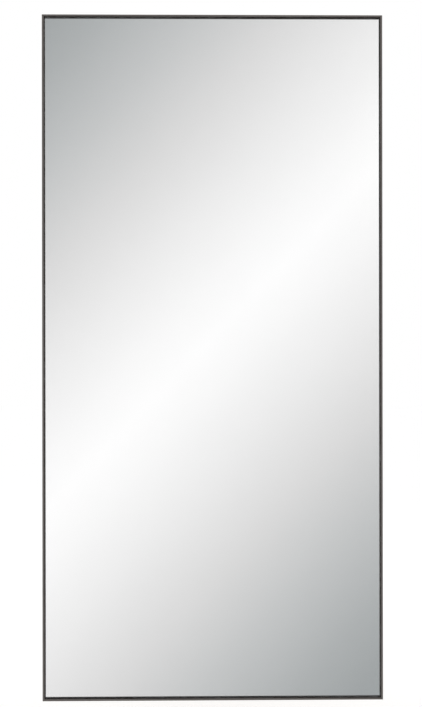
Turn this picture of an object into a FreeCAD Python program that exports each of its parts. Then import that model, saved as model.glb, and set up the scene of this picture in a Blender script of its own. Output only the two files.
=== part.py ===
# Full-length mirror in a thin metal section frame, hung on the wall by two D-ring hangers.
# Millimetres. X runs to the viewer's right, Z up, and the glass faces -Y. The wall is the plane y = 0,
# and the origin lies on it, midway between the two wall hooks and level with their tops.
import FreeCAD
import Part
import Sketcher
import math
import operator
import os
from types import SimpleNamespace

sizes = {
    # Whole mirror: its outline, and how far the wall hooks lie below its top edge
    "overall_width": 760.0,
    "overall_height": 1530.0,
    "hang_drop": 380.0,
    "cut_overrun": 2.0,
    # Frame section: hollow nose in front, one side wall, and a lipped channel behind
    "side_wall": 1.4,
    "nose_width": 4.5,
    "nose_depth": 7.0,
    "nose_wall": 1.2,
    "front_outer_radius": 1.8,
    "front_inner_radius": 0.4,
    "channel_wall": 1.4,
    "channel_depth": 5.0,
    "channel_width": 10.0,
    "mouth_clearance": 0.6,
    # Black gasket between the nose and the glass, with an upstand that shows inside the nose
    "gasket_thick": 0.8,
    "gasket_sight": 1.4,
    "gasket_setback": 3.5,
    "gasket_round": 0.4,
    # Glass, its safety film, the board behind them and the gap round their edges
    "glass_thick": 5.0,
    "glass_arris": 0.5,
    "film_thick": 0.2,
    "board_thick": 9.0,
    "edge_gap": 1.0,
    "block_length": 60.0,
    "spacer_length": 40.0,
    # Bow springs that press the board forward from the channel's front wall
    "spring_gap": 2.2,
    "clip_length": 40.0,
    "clip_width": 14.0,
    "clip_thick": 0.5,
    "clip_clearance": 0.05,
    # Corner hardware in the channel: a threaded plate on the lips, a plain one on the front wall
    "plate_leg": 42.0,
    "plate_thick": 2.0,
    "plate_clearance": 0.15,
    "shim_thick": 1.2,
    "set_screw_diameter": 4.0,
    "set_screw_clearance": 0.05,
    "set_screw_proud": 0.4,
    "set_screw_tip": 0.6,
    "set_screw_slot": 0.8,
    "set_screw_slot_depth": 1.2,
    # Strap hangers, each with a D-ring in a curled eye
    "hanger_inset": 80.0,
    "strap_width": 18.0,
    "strap_thick": 1.2,
    "strap_corner": 6.0,
    "strap_end": 10.0,
    "curl_gap": 0.7,
    "ring_wire": 3.0,
    "ring_corner": 4.0,
    "ring_leg": 4.0,
    "ring_side_gap": 1.0,
    "ring_eye_clearance": 0.05,
    "ring_rest_gap": 0.2,
    "ring_pass_gap": 5.0,
    # Pan-head screws that hold the straps to the board
    "screw_diameter": 3.5,
    "screw_head_diameter": 7.2,
    "screw_head_height": 2.4,
    "screw_head_rim": 0.8,
    "screw_grip": 7.0,
    "screw_tip": 2.0,
    "screw_clearance": 0.05,
    "strap_hole_clearance": 0.2,
    # Round bumpers between the frame's lips and the wall
    "bumper_diameter": 12.0,
    "bumper_thick": 2.0,
    "bumper_edge": 0.6,
    "bumper_inset": 80.0,
}

# Places along a rail, or along a corner plate's leg, as shares of its length
block_shares = (0.25, 0.75)
spacer_shares = (0.2, 0.8)
stile_clip_shares = (0.13, 0.38, 0.62, 0.87)
rail_clip_shares = (0.25, 0.75)
plate_screw_share = 0.66

# Two places closer than this are the same when edges are picked
match_tolerance = 1e-6

doc = FreeCAD.newDocument("full_length_mirror")
sheet = doc.addObject("Spreadsheet::Sheet", "sizes")
for row, (alias, number) in enumerate(sizes.items(), start=1):
    sheet.set("A%d" % row, alias)
    sheet.set("B%d" % row, str(number))
    sheet.setAlias("B%d" % row, alias)
doc.recompute()

operations = {"+": operator.add, "-": operator.sub, "*": operator.mul, "/": operator.truediv}


class Size:
    """A number together with the sheet formula that it comes from."""

    def __init__(self, value, formula):
        self.value = float(value)
        self.formula = formula

    def __add__(self, other):
        return combine(self, "+", other)

    def __sub__(self, other):
        return combine(self, "-", other)

    def __mul__(self, other):
        return combine(self, "*", other)

    def __truediv__(self, other):
        return combine(self, "/", other)

    def __neg__(self):
        return Size(-self.value, "(-1 * %s)" % self.formula)


def as_size(item):
    if isinstance(item, Size):
        return item
    return Size(item, repr(item))


def combine(first, sign, second):
    a = as_size(first)
    b = as_size(second)
    return Size(operations[sign](a.value, b.value), "(%s %s %s)" % (a.formula, sign, b.formula))


def cosine(angle):
    return Size(math.cos(math.radians(angle.value)), "cos(%s)" % angle.formula)


def square_root(amount):
    return Size(math.sqrt(amount.value), "sqrt(%s)" % amount.formula)


def arcsine(ratio):
    return Size(math.degrees(math.asin(ratio.value)), "asin(%s)" % ratio.formula)


s = SimpleNamespace(**{alias: Size(number, "sizes." + alias) for alias, number in sizes.items()})
zero = as_size(0)

# Depths through the section, measured back from the frame's front face
glass_front = s.nose_depth + s.gasket_thick
film_front = glass_front + s.glass_thick
board_front = film_front + s.film_thick
board_back = board_front + s.board_thick
flange_front = board_back + s.spring_gap
channel_floor = flange_front + s.channel_wall
lip_front = channel_floor + s.channel_depth
frame_depth = lip_front + s.channel_wall

# Places across the section, measured in from the frame's outer face
glass_edge = s.side_wall + s.edge_gap
sight_edge = s.nose_width + s.gasket_sight
channel_end = s.side_wall + s.channel_width
channel_middle = s.side_wall + s.channel_width / 2
section_end = channel_end + s.channel_wall

# Outline of the whole mirror in its frame of reference
half_width = s.overall_width / 2
z_top = s.hang_drop
z_bottom = s.hang_drop - s.overall_height
y_front = -(frame_depth + s.bumper_thick)
sheet_width = s.overall_width - glass_edge * 2
sheet_height = s.overall_height - glass_edge * 2

# Hanger: the eye's place on the board, and the ring's outline and lean
eye_bore = s.ring_wire / 2 + s.ring_eye_clearance
eye_outside = eye_bore + s.strap_thick
ring_width = s.strap_width + (s.ring_side_gap + s.ring_corner) * 2
ring_height = s.ring_corner + s.ring_leg + ring_width / 2
ring_lean = arcsine((eye_outside - s.ring_wire / 2 - s.ring_rest_gap) / ring_height)
eye_z = -((ring_height - s.ring_wire / 2) * cosine(ring_lean))
screw_step = s.ring_wire / 2 + s.screw_head_diameter / 2 + s.ring_pass_gap
screw_drops = (ring_height - screw_step, ring_height + screw_step)
strap_length = ring_height + screw_step + s.strap_end
hanger_reach = half_width - s.hanger_inset
hanger_signs = {"left": -1, "right": 1}


def vector(x, y):
    return FreeCAD.Vector(x.value, y.value, 0)


def bind(target, path, size):
    target.setExpression(path, as_size(size).formula)


def new_body(name):
    return doc.addObject("PartDesign::Body", name)


def sketch_on(body, role):
    sketch = body.newObject("Sketcher::SketchObject", body.Name + "_sketch")
    plane = next(item for item in body.Origin.OriginFeatures if item.Role == role)
    sketch.AttachmentSupport = (plane, [""])
    sketch.MapMode = "FlatFace"
    return sketch


def constrain(sketch, size, kind, *where):
    index = sketch.addConstraint(Sketcher.Constraint(kind, *where, size.value))
    bind(sketch, "Constraints[%d]" % index, size)


def pin_point(sketch, geometry, end, x, y):
    constrain(sketch, x, "DistanceX", -1, 1, geometry, end)
    constrain(sketch, y, "DistanceY", -1, 1, geometry, end)


def arc_between(start, end, radius):
    # A positive radius turns left on the way from start to end, a negative one right
    chord = end - start
    side = FreeCAD.Vector(-chord.y, chord.x, 0).normalize()
    reach = math.sqrt(max(radius ** 2 - (chord.Length / 2) ** 2, 0))
    centre = (start + end) / 2 + side * math.copysign(reach, radius)
    first, last = (start, end) if radius > 0 else (end, start)
    angles = [math.atan2(point.y - centre.y, point.x - centre.x) for point in (first, last)]
    return Part.ArcOfCircle(Part.Circle(centre, FreeCAD.Vector(0, 0, 1), abs(radius)), *angles)


def draw_outline(sketch, points):
    # A closed outline: (x, y) starts a straight side, (x, y, radius) starts an arc
    corners = [tuple(as_size(item) for item in point) for point in points]
    lines = []
    for (x, y, *turn), after in zip(corners, corners[1:] + corners[:1]):
        start = vector(x, y)
        end = vector(*after[:2])
        curve = arc_between(start, end, turn[0].value) if turn else Part.LineSegment(start, end)
        ends = (2, 1) if turn and turn[0].value < 0 else (1, 2)
        lines.append((sketch.addGeometry(curve), *ends))
    for (line, first, last), (after, after_first, after_last) in zip(lines, lines[1:] + lines[:1]):
        sketch.addConstraint(Sketcher.Constraint("Coincident", line, last, after, after_first))
    for (x, y, *turn), (line, first, last) in zip(corners, lines):
        pin_point(sketch, line, first, x, y)
        if turn:
            constrain(sketch, turn[0] if turn[0].value > 0 else -turn[0], "Radius", line)


def draw_rectangle(sketch, x_low, y_low, x_high, y_high):
    draw_outline(sketch, [(x_low, y_low), (x_high, y_low), (x_high, y_high), (x_low, y_high)])


def draw_circle(sketch, x, y, radius):
    circle = sketch.addGeometry(Part.Circle(vector(x, y), FreeCAD.Vector(0, 0, 1), radius.value))
    pin_point(sketch, circle, 3, x, y)
    constrain(sketch, radius, "Radius", circle)


def add_feature(body, kind, sketch, **settings):
    feature = body.newObject("PartDesign::" + kind, body.Name + "_" + kind.lower())
    feature.Profile = sketch
    for name, value in settings.items():
        setattr(feature, name, value)
    return feature


def pad(body, sketch, length, **settings):
    feature = add_feature(body, "Pad", sketch, **settings)
    bind(feature, "Length", length)
    doc.recompute()


def pocket(body, sketch, depth):
    # Cuts forward, towards -Y, from a sketch on the body's XZ plane
    feature = add_feature(body, "Pocket", sketch, Reversed=True)
    bind(feature, "Length", depth)
    doc.recompute()


def cut_through(body, sketch):
    add_feature(body, "Pocket", sketch, Type="ThroughAll", Midplane=True)
    doc.recompute()


def revolve(body, sketch):
    add_feature(body, "Revolution", sketch, ReferenceAxis=(sketch, ["V_Axis"]))
    doc.recompute()


def dress_edges(body, kind, path, size, chosen):
    # Rounds or chamfers the edges for which chosen is true
    base = body.Tip
    edges = ["Edge%d" % number for number, edge in enumerate(base.Shape.Edges, start=1) if chosen(edge)]
    feature = body.newObject("PartDesign::" + kind, body.Name + "_" + kind.lower())
    feature.Base = (base, edges)
    bind(feature, path, size)
    doc.recompute()


def edges_along(axis, *spots):
    # Picks straight edges parallel to an axis, each through a spot given in the other two axes
    across = [name for name in "XYZ" if name != axis]

    def passes(edge, spot):
        ends = [[getattr(end, name) for name in across] for end in edge.Vertexes]
        return all(math.dist(end, [size.value for size in spot]) < match_tolerance for end in ends)
    return lambda edge: any(passes(edge, spot) for spot in spots)


def place(item, x, y, z, axis=(0, 1, 0), turn=0):
    item.Placement = FreeCAD.Placement(FreeCAD.Vector(), FreeCAD.Rotation(FreeCAD.Vector(*axis), turn))
    for path, size in (("x", x), ("y", y), ("z", z)):
        bind(item, "Placement.Base." + path, size)


# The frame's sides in order round it: how long each is, the corner where it starts, and the angle about Y
# that turns a piece drawn for the left side to lie on it
stiles = ("left", "right")
side_lengths = {
    "left": s.overall_height,
    "bottom": s.overall_width,
    "right": s.overall_height,
    "top": s.overall_width,
}
side_corners = {"left": "bottom_left", "bottom": "bottom_right", "right": "top_right", "top": "top_left"}
side_angles = {"left": 0, "bottom": -90, "right": 180, "top": 90}


def place_on_side(item, side, inset, depth, along):
    # Inset from the outer face, depth back from the front face, and distance along the side from its start
    spots = {
        "left": (inset - half_width, z_bottom + along),
        "bottom": (half_width - along, z_bottom + inset),
        "right": (half_width - inset, z_top - along),
        "top": (along - half_width, z_top - inset),
    }
    x, z = spots[side]
    place(item, x, y_front + depth, z, turn=side_angles[side])


def cut_mitres(body, length, reach):
    # Trims both ends at 45 degrees, so that four such strips close into a rectangle
    over = s.cut_overrun
    far = reach + over
    sketch = sketch_on(body, "XZ_Plane")
    draw_outline(sketch, [(-over, -over), (far, -over), (far, far)])
    draw_outline(sketch, [(-over, length + over), (far, length - far), (far, length + over)])
    cut_through(body, sketch)


def copies(name, master, placers):
    # One node of several separate solids, all linked to the same drawn piece
    group = doc.addObject("Part::Compound", name)
    links = []
    for number, placer in enumerate(placers, start=1):
        link = doc.addObject("App::Link", "%s_%d" % (name, number))
        link.LinkedObject = master
        placer(link)
        links.append(link)
    group.Links = links
    doc.recompute()
    return group


def on_side(side, inset, depth, along):
    return lambda item: place_on_side(item, side, inset, depth, along)


nodes = []


def frame_side(side):
    # Extruded section: hollow nose, side wall, and the channel that holds the corner plates. The mouth
    # between the channel's lips lets the set screws through.
    body = new_body("frame_" + side)
    length = side_lengths[side]
    half_mouth = s.set_screw_diameter / 2 + s.mouth_clearance
    lip_inner = channel_middle - half_mouth
    lip_outer = channel_middle + half_mouth
    sketch = sketch_on(body, "XY_Plane")
    draw_outline(sketch, [
        (0, 0), (s.nose_width, 0), (s.nose_width, s.nose_depth), (s.side_wall, s.nose_depth),
        (s.side_wall, flange_front), (section_end, flange_front), (section_end, frame_depth),
        (lip_outer, frame_depth), (lip_outer, lip_front), (channel_end, lip_front),
        (channel_end, channel_floor), (s.side_wall, channel_floor), (s.side_wall, lip_front),
        (lip_inner, lip_front), (lip_inner, frame_depth), (0, frame_depth)])
    draw_rectangle(sketch, s.nose_wall, s.nose_wall, s.nose_width - s.nose_wall, s.nose_depth - s.nose_wall)
    pad(body, sketch, length)
    dress_edges(body, "Fillet", "Radius", s.front_outer_radius, edges_along("Z", (zero, zero)))
    dress_edges(body, "Fillet", "Radius", s.front_inner_radius, edges_along("Z", (s.nose_width, zero)))
    cut_mitres(body, length, section_end)
    place_on_side(body, side, zero, zero, zero)
    nodes.append(body)


def gasket_side(side):
    # Flat leaf between nose and glass, with a rounded upstand against the nose's inner face
    body = new_body("gasket_" + side)
    length = side_lengths[side]
    round_start = s.gasket_setback + s.gasket_round
    sketch = sketch_on(body, "XY_Plane")
    draw_outline(sketch, [
        (glass_edge, s.nose_depth), (s.nose_width, s.nose_depth), (s.nose_width, s.gasket_setback),
        (sight_edge - s.gasket_round, s.gasket_setback, s.gasket_round), (sight_edge, round_start),
        (sight_edge, glass_front), (glass_edge, glass_front)])
    pad(body, sketch, length)
    cut_mitres(body, length, sight_edge)
    place_on_side(body, side, zero, zero, zero)
    nodes.append(body)


def corner_plates(side):
    # An L of flat bar in the channels of two sides, threaded for its screws, and a plain one before it
    corner = side_corners[side]
    low = s.side_wall + s.plate_clearance
    high = channel_end - s.plate_clearance
    layers = {
        "corner_plate_": (s.plate_thick, lip_front),
        "corner_shim_": (s.shim_thick, channel_floor + s.shim_thick),
    }
    for label, (thick, rear) in layers.items():
        body = new_body(label + corner)
        sketch = sketch_on(body, "XZ_Plane")
        draw_outline(sketch, [
            (low, low), (s.plate_leg, low), (s.plate_leg, high), (high, high),
            (high, s.plate_leg), (low, s.plate_leg)])
        if label == "corner_plate_":
            for spot in plate_screw_spots():
                draw_circle(sketch, *spot, s.set_screw_diameter / 2 + s.set_screw_clearance)
        pad(body, sketch, thick)
        place_on_side(body, side, zero, rear, zero)
        nodes.append(body)


def plate_screw_spots():
    # One screw in each leg of a corner plate
    reach = s.plate_leg * plate_screw_share
    return (channel_middle, reach), (reach, channel_middle)


def corner_set_screws():
    # Slotted headless screws: each bears on the plain plate and drives the threaded one onto the lips
    body = new_body("set_screw")
    radius = s.set_screw_diameter / 2
    length = s.channel_depth - s.shim_thick - s.set_screw_clearance + s.set_screw_proud
    sketch = sketch_on(body, "XY_Plane")
    draw_outline(sketch, [
        (0, 0), (radius, 0), (radius, s.set_screw_tip - length),
        (radius - s.set_screw_tip, -length), (0, -length)])
    revolve(body, sketch)
    slot = sketch_on(body, "XZ_Plane")
    half_slot = s.set_screw_slot / 2
    draw_rectangle(slot, -s.set_screw_diameter, -half_slot, s.set_screw_diameter, half_slot)
    pocket(body, slot, s.set_screw_slot_depth)
    rear = lip_front + s.set_screw_proud
    placers = []
    for side in side_angles:
        placers += [on_side(side, inset, rear, along) for inset, along in plate_screw_spots()]
    nodes.append(copies("corner_set_screws", body, placers))


def flat_sheet(name, thick, back):
    # A sheet of the glass's outline, drawn on its rear face
    body = new_body(name)
    sketch = sketch_on(body, "XZ_Plane")
    draw_rectangle(sketch, zero, zero, sheet_width, sheet_height)
    pad(body, sketch, thick)
    place(body, glass_edge - half_width, y_front + back, z_bottom + glass_edge)
    nodes.append(body)
    return body


def mirror_glass():
    body = flat_sheet("mirror_glass", s.glass_thick, film_front)
    depth = s.glass_thick.value
    dress_edges(body, "Chamfer", "Size", s.glass_arris, lambda edge: edge.Length > depth)


def backing_board():
    # Board with a pilot hole for each hanger screw
    body = flat_sheet("backing_board", s.board_thick, board_back)
    sketch = sketch_on(body, "XZ_Plane")
    for sign in hanger_signs.values():
        for drop in screw_drops:
            x = sheet_width / 2 + hanger_reach * sign
            z = eye_z - drop - z_bottom - glass_edge
            draw_circle(sketch, x, z, s.screw_diameter / 2 + s.screw_clearance)
    pocket(body, sketch, s.screw_grip + s.screw_clearance)


def edge_packers(name, length, packed_sides, shares):
    # Strips that fill the gap between the side wall and the edges of glass, film and board
    body = new_body(name + "_piece")
    sketch = sketch_on(body, "XY_Plane")
    draw_rectangle(sketch, s.side_wall, glass_front, glass_edge, board_back)
    pad(body, sketch, length, Midplane=True)
    placers = []
    for side in packed_sides:
        placers += [on_side(side, zero, zero, side_lengths[side] * share) for share in shares]
    nodes.append(copies(name, body, placers))


def spring_clips():
    # Bowed strips of spring steel between the board and the channel's front wall
    body = new_body("spring_clip")
    rise = s.spring_gap - s.clip_clearance * 2 - s.clip_thick
    bow_radius = (s.clip_length * s.clip_length / 4 + rise * rise) / (rise * 2)
    sketch = sketch_on(body, "YZ_Plane")
    half = s.clip_length / 2
    draw_outline(sketch, [
        (0, -half, bow_radius), (0, half), (s.clip_thick, half, -bow_radius), (s.clip_thick, -half)])
    pad(body, sketch, s.clip_width)
    depth = board_back + s.clip_clearance
    placers = []
    for side, length in side_lengths.items():
        shares = stile_clip_shares if side in stiles else rail_clip_shares
        placers += [on_side(side, glass_edge, depth, length * share) for share in shares]
    nodes.append(copies("spring_clips", body, placers))


def place_at_hanger(item, side, y, z, **turn):
    place(item, hanger_reach * hanger_signs[side], y_front + board_back + y, z, **turn)


def hanger_strap(side):
    # Steel strap whose upper end curls round the ring's bar and stops short of the strap
    body = new_body("hanger_strap_" + side)
    end_cosine = (s.strap_thick + s.curl_gap) / eye_outside - 1
    end_sine = square_root(as_size(1) - end_cosine * end_cosine)
    sketch = sketch_on(body, "YZ_Plane")
    draw_outline(sketch, [
        (0, -strap_length), (s.strap_thick, -strap_length), (s.strap_thick, 0, -eye_bore),
        (eye_outside, eye_bore, -eye_bore), (eye_outside + eye_bore, 0, -eye_bore),
        (eye_outside + eye_bore * end_cosine, -(eye_bore * end_sine)),
        (eye_outside + eye_outside * end_cosine, -(eye_outside * end_sine), eye_outside),
        (eye_outside * 2, 0, eye_outside), (eye_outside, eye_outside, eye_outside), (0, 0)])
    pad(body, sketch, s.strap_width, Midplane=True)
    foot = [(s.strap_width / 2 * sign, -strap_length) for sign in (-1, 1)]
    dress_edges(body, "Fillet", "Radius", s.strap_corner, edges_along("Y", *foot))
    holes = sketch_on(body, "XZ_Plane")
    for drop in screw_drops:
        draw_circle(holes, zero, -drop, s.screw_diameter / 2 + s.strap_hole_clearance)
    cut_through(body, holes)
    place_at_hanger(body, side, zero, eye_z)
    nodes.append(body)


def hanger_ring(side):
    # D-ring of round wire: a straight bar in the strap's eye, two legs and a half-round bow
    body = new_body("hanger_ring_" + side)
    half = ring_width / 2
    bar = half - s.ring_corner
    legs_end = s.ring_corner + s.ring_leg
    path = sketch_on(body, "XZ_Plane")
    draw_outline(path, [
        (-bar, 0), (bar, 0, s.ring_corner), (half, s.ring_corner), (half, legs_end, half),
        (0, ring_height, half), (-half, legs_end), (-half, s.ring_corner, s.ring_corner)])
    section = sketch_on(body, "YZ_Plane")
    draw_circle(section, zero, zero, s.ring_wire / 2)
    doc.recompute()
    add_feature(body, "AdditivePipe", section, Spine=path)
    doc.recompute()
    place_at_hanger(body, side, eye_outside, eye_z, axis=(1, 0, 0), turn=ring_lean.value)
    bind(body, "Placement.Rotation.Angle", ring_lean)
    nodes.append(body)


def hanger_screws():
    # Pan-head wood screws through the straps into the board
    body = new_body("hanger_screw")
    shank = s.screw_diameter / 2
    head = s.screw_head_diameter / 2
    dome_rise = s.screw_head_height - s.screw_head_rim
    dome_radius = (head * head + dome_rise * dome_rise) / (dome_rise * 2)
    tip = -(s.screw_grip + s.strap_thick)
    sketch = sketch_on(body, "XY_Plane")
    draw_outline(sketch, [
        (0, tip), (shank, s.screw_tip + tip), (shank, 0), (head, 0),
        (head, s.screw_head_rim, dome_radius), (0, s.screw_head_height)])
    revolve(body, sketch)
    placers = [
        lambda item, side=side, drop=drop: place_at_hanger(item, side, s.strap_thick, eye_z - drop)
        for side in hanger_signs for drop in screw_drops]
    nodes.append(copies("hanger_screws", body, placers))


def wall_bumpers():
    # Soft round feet across the channel's lips, which keep the frame off the wall
    body = new_body("wall_bumper")
    radius = s.bumper_diameter / 2
    sketch = sketch_on(body, "XY_Plane")
    draw_outline(sketch, [
        (0, 0), (radius, 0), (radius, s.bumper_thick - s.bumper_edge, s.bumper_edge),
        (radius - s.bumper_edge, s.bumper_thick), (0, s.bumper_thick)])
    revolve(body, sketch)
    placers = []
    for side in stiles:
        for along in (s.bumper_inset, s.overall_height - s.bumper_inset):
            placers.append(on_side(side, channel_middle, frame_depth, along))
    nodes.append(copies("wall_bumpers", body, placers))


for side in side_lengths:
    frame_side(side)
    gasket_side(side)
    corner_plates(side)
corner_set_screws()
mirror_glass()
flat_sheet("safety_film", s.film_thick, board_front)
backing_board()
edge_packers("setting_blocks", s.block_length, ["bottom"], block_shares)
edge_packers("side_spacers", s.spacer_length, stiles, spacer_shares)
spring_clips()
for side in hanger_signs:
    hanger_strap(side)
    hanger_ring(side)
hanger_screws()
wall_bumpers()
doc.recompute()

for item in doc.Objects:
    if "Invalid" in item.State or "Error" in item.State:
        raise RuntimeError("%s did not compute: %s" % (item.Label, item.State))
for node in nodes:
    if node.Shape.isNull() or not node.Shape.isValid():
        raise RuntimeError("%s has no valid shape" % node.Label)

os.makedirs("parts", exist_ok=True)
for node in nodes:
    node.Shape.exportStep("parts/%s.step" % node.Label)
    print("%-26s %2d solids  %10.1f mm3" % (node.Label, len(node.Shape.Solids), node.Shape.Volume))
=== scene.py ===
import bmesh
import bpy
import math
from mathutils import Matrix, Vector


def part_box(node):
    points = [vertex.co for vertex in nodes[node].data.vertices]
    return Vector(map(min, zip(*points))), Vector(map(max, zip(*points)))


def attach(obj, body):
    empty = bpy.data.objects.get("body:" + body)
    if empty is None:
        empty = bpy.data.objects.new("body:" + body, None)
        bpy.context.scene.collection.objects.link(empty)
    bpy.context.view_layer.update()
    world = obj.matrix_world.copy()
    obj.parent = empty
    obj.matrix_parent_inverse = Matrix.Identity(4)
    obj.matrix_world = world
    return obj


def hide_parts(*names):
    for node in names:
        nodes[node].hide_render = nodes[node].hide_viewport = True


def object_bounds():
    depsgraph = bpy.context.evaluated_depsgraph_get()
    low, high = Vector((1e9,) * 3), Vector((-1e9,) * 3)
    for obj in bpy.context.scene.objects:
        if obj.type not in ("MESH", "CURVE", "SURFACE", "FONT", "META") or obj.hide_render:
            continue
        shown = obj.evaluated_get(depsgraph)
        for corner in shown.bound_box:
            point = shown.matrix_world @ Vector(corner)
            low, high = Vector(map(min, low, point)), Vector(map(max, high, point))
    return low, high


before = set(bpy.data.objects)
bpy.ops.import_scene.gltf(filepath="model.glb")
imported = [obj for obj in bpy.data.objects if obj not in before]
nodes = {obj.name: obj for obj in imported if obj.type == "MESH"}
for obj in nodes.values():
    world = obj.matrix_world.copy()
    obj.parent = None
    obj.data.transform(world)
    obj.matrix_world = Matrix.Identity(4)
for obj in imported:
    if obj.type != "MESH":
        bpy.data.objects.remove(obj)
cadBox = [list(corner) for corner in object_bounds()]
lowCorner, highCorner = (Vector(corner) for corner in cadBox)
middle = (lowCorner + highCorner) / 2
print("frame loaded,", len(nodes), "pieces")


# short ways to put things in the scene

def putInScene(name, data):
    thing = bpy.data.objects.new(name, data)
    bpy.context.scene.collection.objects.link(thing)
    return thing


def meshFrom(name, shape):
    mesh = bpy.data.meshes.new(name)
    shape.to_mesh(mesh)
    shape.free()
    return mesh


# the camera, level with the mirror's middle and a little to its left

photoView = {
    "pixels": (422, 707),
    "mirrorPixels": 686.1,           # the mirror's height in the picture
    "middlePixel": (212.75, 357.6),  # where the mirror's middle falls
    "distance": 3.2,                 # metres from the front of the frame
    "sideStep": -0.06,               # metres right of the mirror's middle
    "roll": -0.07,                   # degrees
    "sensor": 36.0,                  # millimetres
}


def placeCamera():
    wide, high = photoView["pixels"]
    pixelX, pixelY = photoView["middlePixel"]
    pixelSize = (highCorner.z - lowCorner.z) / photoView["mirrorPixels"]
    aim = Vector((middle.x - (pixelX - wide / 2) * pixelSize, lowCorner.y,
                  middle.z + (pixelY - high / 2) * pixelSize))
    data = bpy.data.cameras.new("photoCamera")
    data.sensor_width = photoView["sensor"]
    data.lens = photoView["sensor"] * photoView["distance"] / (pixelSize * high)
    camera = putInScene("photoCamera", data)
    camera.location = (middle.x + photoView["sideStep"], lowCorner.y - photoView["distance"], aim.z)
    turn = (aim - camera.location).to_track_quat("-Z", "Y").to_matrix()
    roll = Matrix.Rotation(math.radians(photoView["roll"]), 3, "Z")
    camera.rotation_euler = (turn @ roll).to_euler()
    bpy.context.scene.camera = camera
    print("camera placed, lens %.1f mm" % data.lens)


placeCamera()


# short ways to wire a node tree

colourMix = {"amount": 0, "first": 6, "second": 7, "result": 2}   # the Mix node's sockets for colours


def plug(tree, socket, value):
    if isinstance(value, bpy.types.NodeSocket):
        tree.links.new(value, socket)
    else:
        socket.default_value = value


def addNode(tree, kind, inputs=None, **options):
    node = tree.nodes.new("ShaderNode" + kind)
    for name, value in options.items():
        setattr(node, name, value)
    for socket, value in (inputs or {}).items():
        plug(tree, node.inputs[socket], value)
    return node


def objectPoint(tree, scale=(1, 1, 1)):
    place = addNode(tree, "TexCoord").outputs["Object"]
    return addNode(tree, "Mapping", {"Vector": place, "Scale": scale}).outputs["Vector"]


def alongLength(rates, axis):
    across, lengthwise = rates
    scale = [across] * 3
    scale[axis] = lengthwise
    return scale


def noise(tree, point, scale, detail=3.0, rough=0.5, warp=0.0):
    settings = {"Vector": point, "Scale": scale, "Detail": detail, "Roughness": rough, "Distortion": warp}
    return addNode(tree, "TexNoise", settings).outputs["Fac"]


def cells(tree, point, scale, output="Distance"):
    return addNode(tree, "TexVoronoi", {"Vector": point, "Scale": scale}).outputs[output]


def spread(tree, value, low, high, start=0.3, end=0.7):
    settings = {"Value": value, "From Min": start, "From Max": end, "To Min": low, "To Max": high}
    return addNode(tree, "MapRange", settings).outputs["Result"]


def sums(tree, kind, first, second=0.0):
    return addNode(tree, "Math", {0: first, 1: second}, operation=kind).outputs["Value"]


def sharedTone(tree, share, first, second):
    firstPart = sums(tree, "MULTIPLY", first, share)
    secondPart = sums(tree, "MULTIPLY", second, 1 - share)
    return sums(tree, "ADD", firstPart, secondPart)


def shades(tree, value, places, colours):
    ramp = addNode(tree, "ValToRGB", {"Fac": value})
    marks = ramp.color_ramp.elements
    for number, (place, colour) in enumerate(zip(places, colours)):
        mark = marks[number] if number < len(marks) else marks.new(place)
        mark.position = place
        mark.color = (*colour, 1)
    return ramp.outputs["Color"]


def blendColours(tree, amount, first, second):
    node = addNode(tree, "Mix", data_type="RGBA")
    plug(tree, node.inputs[colourMix["amount"]], amount)
    for socket, colour in (("first", first), ("second", second)):
        plug(tree, node.inputs[colourMix[socket]], (*colour, 1) if isinstance(colour, tuple) else colour)
    return node.outputs[colourMix["result"]]


def relief(tree, height, depth, strength):
    settings = {"Height": height, "Distance": depth, "Strength": strength}
    return addNode(tree, "Bump", settings).outputs["Normal"]


def newFinish(name):
    finish = bpy.data.materials.new(name)
    finish.use_nodes = True
    return finish, finish.node_tree


def wire(tree, inputs):
    shader = tree.nodes["Principled BSDF"]
    for socket, value in inputs.items():
        plug(tree, shader.inputs[socket], value)


def grainedFinish(name, look, more=None):
    finish, tree = newFinish(name)
    grain = noise(tree, objectPoint(tree), **look["grain"])
    wire(tree, {
        "Base Color": shades(tree, grain, look["toneStops"], look["tones"]),
        "Roughness": spread(tree, grain, *look["roughness"]),
        "Normal": relief(tree, grain, look["depth"], look["bump"]),
        **(more or {}),
    })
    return finish


def dress(finish, *names):
    for name in names:
        for slot in nodes[name].material_slots:
            slot.material = finish


# pieces that take over from a plain one, with its edges softened

edgeLook = {
    "weld": 0.000001,   # metres
    "flat": 0.5,        # degrees
    "sharp": 35.0,      # degrees
    "steps": 3,
    "profile": 0.5,     # a round edge
}


def looseMesh(name):
    shape = bmesh.new()
    shape.from_mesh(nodes[name].data)
    bmesh.ops.transform(shape, matrix=nodes[name].matrix_world, verts=shape.verts)
    bmesh.ops.remove_doubles(shape, verts=shape.verts, dist=edgeLook["weld"])
    return shape


def softenedMesh(name, width):
    shape = looseMesh(name)
    flat, sharp = math.radians(edgeLook["flat"]), math.radians(edgeLook["sharp"])
    bmesh.ops.dissolve_limit(shape, angle_limit=flat, verts=shape.verts, edges=shape.edges)
    rims = [edge for edge in shape.edges if edge.is_manifold and edge.calc_face_angle() > sharp]
    bmesh.ops.bevel(shape, geom=rims, offset=width, segments=edgeLook["steps"],
                    profile=edgeLook["profile"], affect="EDGES", clamp_overlap=False)
    return shape


def finishPiece(name, shape, finish, node):
    mesh = meshFrom(name, shape)
    mesh.shade_smooth()
    mesh.set_sharp_from_angle(angle=math.radians(edgeLook["sharp"]))
    mesh.materials.append(finish)
    piece = putInScene(name, mesh)
    flats = piece.modifiers.new("flats", "WEIGHTED_NORMAL")   # flat faces stay flat beside their edges
    flats.keep_sharp = True
    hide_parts(node)
    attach(piece, "mirror")


# frame: dark bronze anodised metal, brushed along each length

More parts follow.
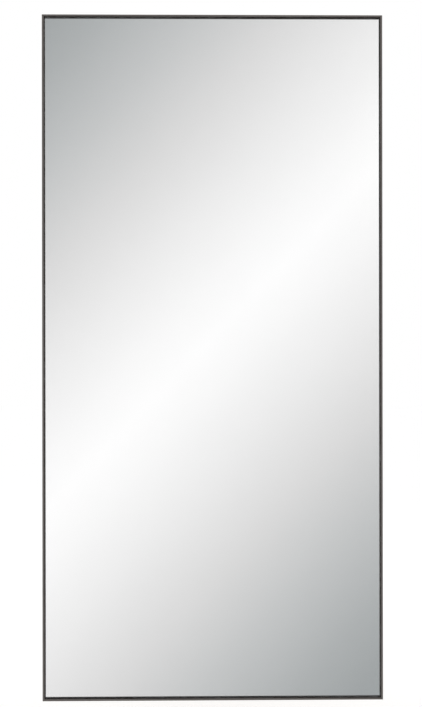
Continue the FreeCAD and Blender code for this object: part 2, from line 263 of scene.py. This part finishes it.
frameLook = {
    "tones": ((0.146, 0.135, 0.126), (0.212, 0.198, 0.186)),
    "toneStops": (0.3, 0.7),
    "brushing": (2400.0, 14.0),    # per metre across and along each length
    "grain": {"scale": 1.0, "detail": 4.0, "rough": 0.6},
    "drift": {"scale": 5.0},
    "grainShare": 0.7,             # of the tone, the rest is drift
    "worn": (0.37, 0.352, 0.335),
    "wornEdge": {"low": 0.0, "high": 0.8, "start": 0.15, "end": 0.5},
    "rub": {"scale": 60.0, "detail": 5.0, "rough": 0.65},
    "roughness": (0.27, 0.42),
    "depth": 0.000012,
    "bump": 0.6,
    "edge": 0.0002,                # radius of the extruded section's corners
    "mitre": 0.00012,              # how much the mitres' edges are broken
}


def bronze(name, axis):
    look = frameLook
    finish, tree = newFinish(name)
    grain = noise(tree, objectPoint(tree, alongLength(look["brushing"], axis)), **look["grain"])
    drift = noise(tree, objectPoint(tree), **look["drift"])
    tone = sharedTone(tree, look["grainShare"], grain, drift)
    turned = addNode(tree, "SeparateXYZ", {0: addNode(tree, "NewGeometry").outputs["Normal"]})
    side = turned.outputs["X" if axis == 2 else "Z"]
    corner = sums(tree, "ABSOLUTE", sums(tree, "MULTIPLY", side, turned.outputs["Y"]))   # most at 45 degrees
    rub = spread(tree, noise(tree, objectPoint(tree), **look["rub"]), 0.0, 1.0)
    wear = sums(tree, "MULTIPLY", spread(tree, corner, **look["wornEdge"]), rub)
    colour = shades(tree, tone, look["toneStops"], look["tones"])
    wire(tree, {
        "Base Color": blendColours(tree, wear, colour, look["worn"]),
        "Metallic": 1.0,
        "Roughness": spread(tree, grain, *look["roughness"]),
        "Normal": relief(tree, grain, look["depth"], look["bump"]),
    })
    return finish


def sectionLoops(name, place, along):
    shape = looseMesh(name)
    parts = shape.verts[:] + shape.edges[:] + shape.faces[:]
    cut = bmesh.ops.bisect_plane(shape, geom=parts, plane_co=place, plane_no=along)["geom_cut"]
    waiting = [part for part in cut if isinstance(part, bmesh.types.BMEdge)]
    loops = []
    while waiting:
        first, last = waiting.pop().verts
        loop = [first.co.copy()]
        while last != first:   # from edge to edge until the outline closes
            loop.append(last.co.copy())
            edge = next(other for other in last.link_edges if other in waiting)
            waiting.remove(edge)
            last = edge.other_vert(last)
        loops.append(loop)
    shape.free()
    return loops


def waysAt(loop, number):
    before, here, after = loop[number - 1], loop[number], loop[(number + 1) % len(loop)]
    return (here - before).normalized(), (after - here).normalized()


def straightened(loop):
    ways = [waysAt(loop, number) for number in range(len(loop))]
    flat = math.radians(edgeLook["flat"])
    return [point for point, (come, go) in zip(loop, ways) if come.angle(go) > flat]


def rounded(loop, radius):
    steps = edgeLook["steps"]
    points = []
    for number, corner in enumerate(loop):
        come, go = waysAt(loop, number)
        turn = come.angle(go)
        if turn < math.radians(edgeLook["sharp"]):
            points.append(corner)
            continue
        reach = radius * math.tan(turn / 2)
        start, end = corner - come * reach, corner + go * reach
        for share in (index / steps for index in range(steps + 1)):
            points.append(start.lerp(corner, share).lerp(corner.lerp(end, share), share))
    return points


def metalOnLeft(loop, hollow):
    area = sum(a.cross(b) for a, b in zip(loop, loop[1:] + loop[:1]))
    return loop if (area < 0) == hollow else loop[::-1]


def drawnIn(loop, amount):
    points = []
    for number, point in enumerate(loop):
        come, go = waysAt(loop, number)
        points.append(point + (come + go).normalized().orthogonal() * amount)
    return points


def sweptLength(loops, corner, inset, along, length):
    shape = bmesh.new()
    trim = frameLook["mitre"]
    back = Vector((0, 1, 0))
    rims = []
    for loop in loops:
        small = drawnIn(loop, trim)
        rings = [
            [(point, point.x) for point in small],
            [(point, point.x + trim) for point in loop],
            [(point, length - point.x - trim) for point in loop],
            [(point, length - point.x) for point in small],
        ]
        made = []
        for ring in rings:
            spots = [corner + inset * point.x + along * reach + back * point.y for point, reach in ring]
            made.append([shape.verts.new(spot) for spot in spots])
        for lower, upper in zip(made, made[1:]):
            for number in range(len(loop)):
                shape.faces.new((lower[number - 1], upper[number - 1], upper[number], lower[number]))
        rims.append((made[0], made[-1]))
    for ends in zip(*rims):   # closes each mitre, with the nose's hollow left open
        pairs = [(ring[number - 1], ring[number]) for ring in ends for number in range(len(ring))]
        bmesh.ops.triangle_fill(shape, edges=[shape.edges.get(pair) for pair in pairs], use_beauty=True)
    bmesh.ops.recalc_face_normals(shape, faces=shape.faces)
    return shape


def makeFrame():
    low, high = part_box("frame_left")
    upright, level = Vector((0, 0, 1)), Vector((1, 0, 0))
    corner = Vector((low.x, 0, low.z))
    loops = []
    for loop in sectionLoops("frame_left", (low + high) / 2, upright):
        section = [Vector((point.x - corner.x, point.y)) for point in loop]
        loops.append(rounded(straightened(section), frameLook["edge"]))
    loops.sort(key=lambda loop: max(point.x for point in loop), reverse=True)
    loops = [metalOnLeft(loop, number > 0) for number, loop in enumerate(loops)]   # outline, then hollow
    tall, wide = high.z - low.z, highCorner.x - lowCorner.x
    lengths = {
        "left": (corner, level, upright, tall),
        "right": (corner + level * wide, -level, upright, tall),
        "bottom": (corner, upright, level, wide),
        "top": (corner + upright * tall, -upright, level, wide),
    }
    uprightBronze, levelBronze = bronze("frameBronzeUpright", 2), bronze("frameBronzeLevel", 0)
    for side, (start, inset, along, length) in lengths.items():
        finish = uprightBronze if along is upright else levelBronze
        shape = sweptLength(loops, start, inset, along, length)
        finishPiece("frameLength." + side, shape, finish, "frame_" + side)


makeFrame()
print("frame dressed")


# gasket: satin brown-black extruded rubber with faint die lines and dust, its near-black tone partly the
# rubber's own and partly painted shade of the recess inside the frame's nose

gasketShadeLook = {
    # near-black: black rubber, and also painted shade of the recess behind the frame's nose
    "tones": ((0.0100, 0.0056, 0.0034), (0.0165, 0.0102, 0.0070)),
    "toneStops": (0.35, 0.75),
    "dust": {"scale": 45.0, "detail": 4.0},
    "dieLines": (1500.0, 6.0),     # per metre across and along each strip
    "lines": {"scale": 1.0, "detail": 2.0},
    "roughness": (0.28, 0.4),
    "gloss": 0.2,
    "depth": 0.00002,
    "bump": 0.5,
}


def rubberStripAndShade(name, axis):
    look = gasketShadeLook
    finish, tree = newFinish(name)
    lines = noise(tree, objectPoint(tree, alongLength(look["dieLines"], axis)), **look["lines"])
    dust = noise(tree, objectPoint(tree), **look["dust"])
    wire(tree, {
        # the dark tones carry painted shade of the recess as well as the rubber's colour
        "Base Color": shades(tree, dust, look["toneStops"], look["tones"]),
        "Roughness": spread(tree, dust, *look["roughness"]),
        "Specular IOR Level": look["gloss"],
        "Normal": relief(tree, lines, look["depth"], look["bump"]),
    })
    return finish


dress(rubberStripAndShade("gasketShadeUpright", 2), "gasket_left", "gasket_right")
dress(rubberStripAndShade("gasketShadeLevel", 0), "gasket_top", "gasket_bottom")
print("gasket dressed")


# mirror: clear float glass, silvered on its rear face

mirrorLook = {
    "arris": 0.0005,                 # metres, as the next lengths are
    "arrisSteps": 2,
    "coat": 0.00008,                 # silver, copper and paint together
    "gap": 0.00002,                  # keeps the two surfaces apart for the light
    "clear": (0.984, 0.994, 0.990),
    "refraction": 1.52,
    "wipeStretch": (1, 1, 0.45),     # wiped up and down
    "wipe": {"scale": 3.5, "detail": 6.0, "rough": 0.55, "warp": 0.8},
    "haze": (0.0, 0.012),
    "silver": ((0.945, 0.947, 0.946), (0.958, 0.959, 0.958)),
    "silverStops": (0.35, 0.65),
    "silverCloud": {"scale": 2.2, "detail": 4.0},
}


def slab(name, low, high, edge=0.0):
    shape = bmesh.new()
    bmesh.ops.create_cube(shape, size=1.0)
    bmesh.ops.scale(shape, vec=high - low, verts=shape.verts)
    bmesh.ops.translate(shape, vec=(low + high) / 2, verts=shape.verts)
    if edge:
        bmesh.ops.bevel(shape, geom=shape.edges[:], offset=edge, segments=mirrorLook["arrisSteps"],
                        profile=edgeLook["profile"], affect="EDGES")
    return putInScene(name, meshFrom(name, shape))


def clearGlass():
    look = mirrorLook
    finish, tree = newFinish("clearGlass")
    wipe = noise(tree, objectPoint(tree, look["wipeStretch"]), **look["wipe"])
    wire(tree, {
        "Base Color": (*look["clear"], 1),
        "Roughness": spread(tree, wipe, *look["haze"]),
        "Transmission Weight": 1.0,
        "IOR": look["refraction"],
    })
    return finish


def silvering():
    look = mirrorLook
    finish, tree = newFinish("silvering")
    cloud = noise(tree, objectPoint(tree), **look["silverCloud"])
    wire(tree, {
        "Base Color": shades(tree, cloud, look["silverStops"], look["silver"]),
        "Metallic": 1.0,
        "Roughness": 0.0,
    })
    return finish


def makeMirror():
    low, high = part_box("mirror_glass")
    coatFront = high.y - mirrorLook["coat"]
    glassBack = coatFront - mirrorLook["gap"]
    pane = slab("glassPane", low, Vector((high.x, glassBack, high.z)), mirrorLook["arris"])
    pane.data.materials.append(clearGlass())
    coat = slab("silverCoat", Vector((low.x, coatFront, low.z)), high)
    coat.data.materials.append(silvering())
    for piece in (pane, coat):
        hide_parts("mirror_glass")
        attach(piece, "mirror")


makeMirror()
print("mirror silvered")


# safety film: grey, with the weave of its scrim

filmLook = {
    "tones": ((0.28, 0.29, 0.30), (0.36, 0.37, 0.38)),
    "toneStops": (0.35, 0.65),
    "grain": {"scale": 320.0, "detail": 2.0},
    "roughness": (0.42, 0.6),
    "depth": 0.00003,
    "bump": 0.5,
}

dress(grainedFinish("greyFilm", filmLook), "safety_film")
print("film dressed")


# backing board: raw fibreboard, pressed from short pale and dark fibres

boardLook = {
    "tones": ((0.33, 0.215, 0.118), (0.445, 0.305, 0.178), (0.53, 0.385, 0.245)),
    "toneStops": (0.40, 0.57, 0.72),
    "fibreSize": (0.00032, 0.0005, 0.0024),   # metres across, through and along
    "fibreTurns": (12.0, 71.0, 133.0),        # degrees about the board's own normal
    "fibre": {"scale": 1.0, "detail": 3.0, "rough": 0.6, "warp": 0.5},
    "blotch": {"scale": 6.0, "detail": 5.0, "rough": 0.6},
    "fibreShare": 0.86,                       # of the tone, the rest is blotches
    "specks": 420.0,
    "speckSpread": {"low": 0.55, "high": 0.0, "start": 0.06, "end": 0.16},
    "speckTone": (0.17, 0.10, 0.05),
    "roughness": (0.72, 0.9),
    "depth": 0.00006,
    "bump": 0.6,
}


def fibreLayer(tree, turn):
    place = addNode(tree, "TexCoord").outputs["Object"]
    settings = {"Vector": place, "Rotation": (0, math.radians(turn), 0), "Scale": boardLook["fibreSize"]}
    point = addNode(tree, "Mapping", settings, vector_type="TEXTURE").outputs["Vector"]
    return noise(tree, point, **boardLook["fibre"])


def fibreBoard():
    look = boardLook
    finish, tree = newFinish("fibreBoard")
    first, second, third = (fibreLayer(tree, turn) for turn in look["fibreTurns"])
    fibres = sums(tree, "MAXIMUM", sums(tree, "MAXIMUM", first, second), third)
    blotch = noise(tree, objectPoint(tree), **look["blotch"])
    tone = sharedTone(tree, look["fibreShare"], fibres, blotch)
    colour = shades(tree, tone, look["toneStops"], look["tones"])
    speck = spread(tree, cells(tree, objectPoint(tree), look["specks"]), **look["speckSpread"])
    wire(tree, {
        "Base Color": blendColours(tree, speck, colour, look["speckTone"]),
        "Roughness": spread(tree, fibres, *look["roughness"]),
        "Normal": relief(tree, fibres, look["depth"], look["bump"]),
    })
    return finish


dress(fibreBoard(), "backing_board")
print("board dressed")


# packers between the frame and the sheets: black moulded plastic

packerLook = {
    "tones": ((0.016, 0.016, 0.018), (0.03, 0.03, 0.033)),
    "toneStops": (0.35, 0.65),
    "grain": {"scale": 900.0, "detail": 2.0},
    "roughness": (0.4, 0.55),
    "depth": 0.00003,
    "bump": 0.5,
}

dress(grainedFinish("packerPlastic", packerLook), "setting_blocks", "side_spacers")
print("packers dressed")


# plated and spring steel

zincLook = {
    "tones": ((0.50, 0.50, 0.485), (0.66, 0.66, 0.65), (0.76, 0.765, 0.77)),
    "toneStops": (0.25, 0.5, 0.75),
    "spangle": 1300.0,
    "spangleShare": 0.14,          # of the tone, the rest is clouds
    "cloud": {"scale": 90.0, "detail": 5.0, "rough": 0.6},
    "stain": (0.62, 0.57, 0.44),   # the yellow cast of passivated zinc
    "stainPatch": {"scale": 38.0, "detail": 2.0},
    "stainSpread": {"low": 0.0, "high": 0.35, "start": 0.45, "end": 0.75},
    "roughness": (0.22, 0.42),
    "depth": 0.00003,
    "bump": 0.4,
}


def platedZinc():
    look = zincLook
    finish, tree = newFinish("platedZinc")
    spangle = cells(tree, objectPoint(tree), look["spangle"], "Color")
    cloud = noise(tree, objectPoint(tree), **look["cloud"])
    tone = sharedTone(tree, look["spangleShare"], spangle, cloud)
    colour = shades(tree, tone, look["toneStops"], look["tones"])
    stain = spread(tree, noise(tree, objectPoint(tree), **look["stainPatch"]), **look["stainSpread"])
    wire(tree, {
        "Base Color": blendColours(tree, stain, colour, look["stain"]),
        "Metallic": 1.0,
        "Roughness": spread(tree, tone, *look["roughness"]),
        "Normal": relief(tree, cloud, look["depth"], look["bump"]),
    })
    return finish


springLook = {
    "tones": ((0.13, 0.15, 0.20), (0.24, 0.25, 0.29), (0.33, 0.30, 0.26)),
    "toneStops": (0.32, 0.5, 0.68),
    "temper": {"scale": 24.0, "detail": 2.0},
    "rollMarks": (1800.0, 1800.0, 60.0),   # per metre
    "rolling": {"scale": 1.0, "detail": 3.0},
    "roughness": (0.22, 0.38),
    "depth": 0.00001,
    "bump": 0.4,
}


def bluedSpring():
    look = springLook
    finish, tree = newFinish("bluedSpring")
    temper = noise(tree, objectPoint(tree), **look["temper"])
    rolling = noise(tree, objectPoint(tree, look["rollMarks"]), **look["rolling"])
    wire(tree, {
        "Base Color": shades(tree, temper, look["toneStops"], look["tones"]),
        "Metallic": 1.0,
        "Roughness": spread(tree, rolling, *look["roughness"]),
        "Normal": relief(tree, rolling, look["depth"], look["bump"]),
    })
    return finish


zinc = platedZinc()
corners = ("bottom_left", "bottom_right", "top_right", "top_left")
dress(zinc, *("corner_shim_" + corner for corner in corners))
dress(zinc, "hanger_ring_left", "hanger_ring_right")
dress(bluedSpring(), "spring_clips")
print("steel dressed")


# pressed plates: the stamped steel, with its edges rolled over a little

pressedLook = {"roll": 0.00022}   # metres


def pressedPlate(name, node):
    finishPiece(name, softenedMesh(node, pressedLook["roll"]), zinc, node)


for side in ("left", "right"):
    pressedPlate(side + "HangerStrap", "hanger_strap_" + side)
for corner in corners:
    pressedPlate("cornerPlate." + corner, "corner_plate_" + corner)
print("plates pressed")


# screws: turned with their threads, and driven where the plain ones stand (lengths in metres)

hangerScrew = {
    "sides": 24,
    "pitch": 0.0014,
    "rowsPerTurn": 8,
    "ridge": 0.3,              # the thread's half width, as a share of its pitch
    "core": 0.00118,
    "threadDepth": 0.00055,
    "tipLength": 0.002,
    "tipRadius": 0.00015,
    "neckLength": 0.0005,
    "headHeight": 0.0024,
    "rimHeight": 0.0008,
    "underCut": 0.0001,
    "domeSteps": 7,
    "domeTurn": 78.0,          # degrees of the dome before its flat middle
    "recess": {"reach": 0.0018, "half": 0.00048, "depth": 0.0016, "narrow": 0.5},
    "turnStep": 2.4,           # radians between one screw and the next
}
cornerScrew = {
    "sides": 24,
    "pitch": 0.0007,
    "rowsPerTurn": 8,
    "ridge": 0.5,
    "threadDepth": 0.0004,
    "tipLength": 0.0006,
    "tipRadius": 0.001,
    "chamfer": 0.0004,
    "slot": {"half": 0.0004, "depth": 0.0012, "narrow": 1.0},
    "turnStep": 2.4,
}
cutOverrun = 0.0005            # how far a cutter stands above what it cuts


def standingBoxes(name):
    shape = looseMesh(name)
    waiting = dict.fromkeys(shape.verts)   # in the mesh's own order
    boxes = []
    while waiting:
        solid = [waiting.popitem()[0]]
        for corner in solid:   # the list grows as it is walked
            for edge in corner.link_edges:
                other = edge.other_vert(corner)
                if other in waiting:
                    waiting.pop(other)
                    solid.append(other)
        axes = list(zip(*(corner.co for corner in solid)))
        boxes.append((Vector(map(min, axes)), Vector(map(max, axes))))
    shape.free()
    return sorted(boxes, key=lambda box: [round(value, 4) for value in box[0]])


def turnedMesh(name, look, rings):
    shape = bmesh.new()
    loops = []
    for height, radius, threadShare in rings:
        loop = []
        for number in range(look["sides"]):
            roundShare = number / look["sides"]
            along = (height / look["pitch"] - roundShare) % 1
            ridge = max(0.0, 1 - abs(along - 0.5) / look["ridge"])   # highest halfway along each pitch
            reach = radius + threadShare * look["threadDepth"] * ridge
            angle = math.tau * roundShare
            loop.append(shape.verts.new((reach * math.cos(angle), height, reach * math.sin(angle))))
        loops.append(loop)
    for lower, upper in zip(loops, loops[1:]):
        for number in range(look["sides"]):
            shape.faces.new((lower[number - 1], upper[number - 1], upper[number], lower[number]))
    shape.faces.new(loops[0])
    shape.faces.new(loops[-1])
    bmesh.ops.recalc_face_normals(shape, faces=shape.faces)
    return meshFrom(name, shape)


def threadRows(look, start, end, radius, startShare=1.0, endShare=1.0):
    count = max(2, round((end - start) / look["pitch"] * look["rowsPerTurn"]))
    rows = []
    for number in range(count + 1):
        along = number / count
        rows.append((start + (end - start) * along, radius, startShare + (endShare - startShare) * along))
    return rows


def cutterMesh(name, outline, depth, narrow):
    shape = bmesh.new()
    top = [shape.verts.new((x, cutOverrun, z)) for x, z in outline]
    foot = [shape.verts.new((x * narrow, -depth, z * narrow)) for x, z in outline]
    for number in range(len(outline)):
        shape.faces.new((top[number - 1], foot[number - 1], foot[number], top[number]))
    shape.faces.new(top)
    shape.faces.new(foot)
    bmesh.ops.recalc_face_normals(shape, faces=shape.faces)
    return meshFrom(name, shape)


def crossOutline(reach, half):
    outline = []
    for quarter in range(4):
        angle = quarter * math.pi / 2
        sine, cosine = round(math.sin(angle)), round(math.cos(angle))
        for x, z in ((reach, -half), (reach, half), (half, half)):
            outline.append((x * cosine - z * sine, x * sine + z * cosine))
    return outline


def cutAway(mesh, cutter):
    work = [putInScene(part.name, part) for part in (mesh, cutter)]
    cut = work[0].modifiers.new("cut", "BOOLEAN")
    cut.operation = "DIFFERENCE"
    cut.solver = "EXACT"
    cut.object = work[1]
    result = bpy.data.meshes.new_from_object(work[0].evaluated_get(bpy.context.evaluated_depsgraph_get()))
    for thing in work:
        bpy.data.objects.remove(thing)
    return result


def driveScrews(name, mesh, boxes, node, turnStep):
    shape = bmesh.new()
    for number, (low, high) in enumerate(boxes):
        first = len(shape.verts)
        shape.from_mesh(mesh)
        shape.verts.ensure_lookup_table()
        place = Matrix.Translation(((low.x + high.x) / 2, high.y, (low.z + high.z) / 2))
        turn = Matrix.Rotation(number * turnStep, 4, "Y")
        bmesh.ops.transform(shape, matrix=place @ turn, verts=shape.verts[first:])
    finishPiece(name, shape, zinc, node)


def makeHangerScrews():
    look = hangerScrew
    boxes = standingBoxes("hanger_screws")
    low, high = boxes[0]
    headRadius = (high.x - low.x) / 2
    neckRadius = look["core"] + look["threadDepth"] / 2
    tip = low.y - high.y
    head = -look["headHeight"]
    threadEnd = head - look["neckLength"]
    threadStart = tip + look["tipLength"]
    rings = []
    for height, radius, share in threadRows(look, tip, threadStart, look["core"], 0.0, 1.0):
        rings.append((height, look["tipRadius"] + (radius - look["tipRadius"]) * share, share))
    rings += threadRows(look, threadStart, threadEnd, look["core"])[1:]
    rings.append((threadEnd + look["underCut"], neckRadius, 0.0))
    rings.append((head, neckRadius, 0.0))
    rings.append((head, headRadius - look["underCut"], 0.0))
    rings.append((head + look["underCut"], headRadius, 0.0))
    rim = head + look["rimHeight"]
    lastTurn = math.radians(look["domeTurn"])
    for number in range(look["domeSteps"] + 1):
        angle = lastTurn * number / look["domeSteps"]
        rise = math.sin(angle) / math.sin(lastTurn)
        rings.append((rim - rim * rise, headRadius * math.cos(angle), 0.0))
    recess = look["recess"]
    outline = crossOutline(recess["reach"], recess["half"])
    cutter = cutterMesh("crossCutter", outline, recess["depth"], recess["narrow"])
    mesh = cutAway(turnedMesh("hangerScrew", look, rings), cutter)
    driveScrews("hangerScrews", mesh, boxes, "hanger_screws", look["turnStep"])


def makeCornerScrews():
    look = cornerScrew
    boxes = standingBoxes("corner_set_screws")
    low, high = boxes[0]
    radius = (high.x - low.x) / 2
    core = radius - look["threadDepth"]
    tip = low.y - high.y
    start = tip + look["tipLength"]
    end = -look["chamfer"]
    rings = [(tip, look["tipRadius"], 0.0), (start, core, 0.0)]
    rings += threadRows(look, start, end, core)[1:]
    rings.append((0.0, core - look["chamfer"] / 2, 0.0))
    slot = look["slot"]
    reach, half = radius + cutOverrun, slot["half"]
    outline = ((-reach, -half), (reach, -half), (reach, half), (-reach, half))
    cutter = cutterMesh("slotCutter", outline, slot["depth"], slot["narrow"])
    mesh = cutAway(turnedMesh("cornerScrew", look, rings), cutter)
    driveScrews("cornerScrews", mesh, boxes, "corner_set_screws", look["turnStep"])


makeHangerScrews()
makeCornerScrews()
print("screws driven")


# wall bumpers: soft grey rubber, slightly see-through at the rim

bumperLook = {
    "tones": ((0.30, 0.30, 0.295), (0.40, 0.40, 0.395)),
    "toneStops": (0.35, 0.65),
    "grain": {"scale": 700.0, "detail": 3.0},
    "roughness": (0.38, 0.55),
    "depth": 0.00003,
    "bump": 0.4,
    "soften": {"Subsurface Weight": 0.25, "Subsurface Radius": (0.002, 0.002, 0.002)},
}

dress(grainedFinish("bumperRubber", bumperLook, bumperLook["soften"]), "wall_bumpers")
print("bumpers dressed")


# studio: white sky, a pale floor, soft lamps, and the soft diagonal sheen that the glass faces

plainWhite = (1, 1, 1, 1)
studioSky = {
    "lightLevel": 0.82,           # how strongly the sky lights the pieces
    "rearFade": (-0.45, -0.05),   # the sheen's bands end before the sky passes beside the mirror
    "rearTones": ((0.55, 0.555, 0.56), (1.0, 1.0, 1.0)),   # the rest of the sky, low and high
    "rearRise": (-0.8, -0.05),    # where it turns from one to the other
    "bandTurn": 44.0,     # degrees by which the sheen's bands lean from upright
    "bandMiddle": 0.006,  # the brightest line's place across the bands, as the sine of an angle
    "bandReach": 0.27,    # from a bright line to the dark one beside it, in the same measure
    "bandTones": (        # from a bright line to a dark one
        (0.0, 1.065), (0.09, 1.02), (0.24, 0.91), (0.43, 0.75),
        (0.61, 0.59), (0.76, 0.47), (0.87, 0.40), (1.0, 0.36),
    ),
    "brightTint": (1.011, 0.99, 0.999),
    "darkTint": (0.957, 1.007, 1.035),
    "tintStart": 0.43,    # where the dark tint sets in
}


def bandColours():
    bright, dark = Vector(studioSky["brightTint"]), Vector(studioSky["darkTint"])
    start = studioSky["tintStart"]
    for place, tone in studioSky["bandTones"]:
        yield bright.lerp(dark, max(0.0, place - start) / (1 - start)) * tone


def buildSky():
    world = bpy.data.worlds.new("studioSky")
    bpy.context.scene.world = world
    world.use_nodes = True
    tree = world.node_tree
    tree.nodes.clear()
    heading = addNode(tree, "TexCoord").outputs["Generated"]
    turn = math.radians(studioSky["bandTurn"])
    acrossBands = (math.cos(turn), 0.0, -math.sin(turn))
    across = addNode(tree, "VectorMath", {0: heading, 1: acrossBands}, operation="DOT_PRODUCT")
    fromMiddle = sums(tree, "SUBTRACT", across.outputs["Value"], studioSky["bandMiddle"])
    reach = studioSky["bandReach"]
    fromBright = spread(tree, sums(tree, "PINGPONG", fromMiddle, reach), 0.0, 1.0, 0.0, reach)
    colour = shades(tree, fromBright, [place for place, tone in studioSky["bandTones"]], bandColours())
    aim = addNode(tree, "SeparateXYZ", {0: heading}).outputs
    rise = spread(tree, aim["Z"], 0.0, 1.0, *studioSky["rearRise"])
    rearTone = shades(tree, rise, (0.0, 1.0), studioSky["rearTones"])
    behind = spread(tree, aim["Y"], 0.0, 1.0, *studioSky["rearFade"])
    sheen = addNode(tree, "Background", {"Color": blendColours(tree, behind, colour, rearTone)})
    white = addNode(tree, "Background", {"Color": plainWhite})
    light = addNode(tree, "Background", {"Color": plainWhite, "Strength": studioSky["lightLevel"]})
    rays = addNode(tree, "LightPath").outputs
    shiny = sums(tree, "MAXIMUM", rays["Is Glossy Ray"], rays["Is Transmission Ray"])
    unseen = addNode(tree, "MixShader", {0: shiny, 1: light.outputs[0], 2: sheen.outputs[0]})
    seen = addNode(tree, "MixShader", {0: rays["Is Camera Ray"], 1: unseen.outputs[0], 2: white.outputs[0]})
    addNode(tree, "OutputWorld", {"Surface": seen.outputs[0]})


def hideFromGlass(thing):
    thing.visible_glossy = False         # the mirror faces the sheen alone,
    thing.visible_transmission = False   # also through its own glass


studioFloor = {
    "drop": 0.12,                    # metres below the mirror
    "reach": 20.0,
    "paper": (0.86, 0.86, 0.86),
    "grain": {"scale": 900.0, "detail": 2.0},
    "roughness": (0.8, 0.95),
    "glow": 0.28,                    # what the camera sees added to the paper
}


def floorPaper():
    finish, tree = newFinish("floorPaper")
    grain = noise(tree, objectPoint(tree), **studioFloor["grain"])
    roughness = spread(tree, grain, *studioFloor["roughness"])
    wire(tree, {"Base Color": (*studioFloor["paper"], 1), "Roughness": roughness})
    amount = sums(tree, "MULTIPLY", addNode(tree, "LightPath").outputs["Is Camera Ray"], studioFloor["glow"])
    glow = addNode(tree, "Emission", {"Color": plainWhite, "Strength": amount})
    both = addNode(tree, "AddShader", {0: tree.nodes["Principled BSDF"].outputs[0], 1: glow.outputs[0]})
    tree.links.new(both.outputs[0], tree.nodes["Material Output"].inputs["Surface"])
    return finish


def layFloor():
    reach = studioFloor["reach"]
    outline = [(-reach, -reach, 0), (reach, -reach, 0), (reach, reach, 0), (-reach, reach, 0)]
    mesh = bpy.data.meshes.new("studioFloor")
    mesh.from_pydata(outline, [], [(0, 1, 2, 3)])
    mesh.materials.append(floorPaper())
    floor = putInScene("studioFloor", mesh)
    floor.location = (middle.x, middle.y, lowCorner.z - studioFloor["drop"])
    hideFromGlass(floor)


studioLamps = {
    "keyLamp": {"place": (-2.4, -3.2, 1.8), "width": 2.4, "watts": 18.0},
    "fillLamp": {"place": (2.8, -2.6, 0.6), "width": 2.4, "watts": 8.0},
    "rearLamp": {"place": (1.9, 3.2, 1.6), "width": 2.4, "watts": 18.0},
}


def hangLamps():
    for name, lamp in studioLamps.items():
        data = bpy.data.lights.new(name, "AREA")
        data.size = lamp["width"]
        data.energy = lamp["watts"]
        light = putInScene(name, data)
        light.location = lamp["place"]
        light.rotation_euler = (middle - light.location).to_track_quat("-Z", "Y").to_euler()
        hideFromGlass(light)


buildSky()
layFloor()
hangLamps()
bpy.context.scene.view_settings.view_transform = "Standard"
print("studio ready")
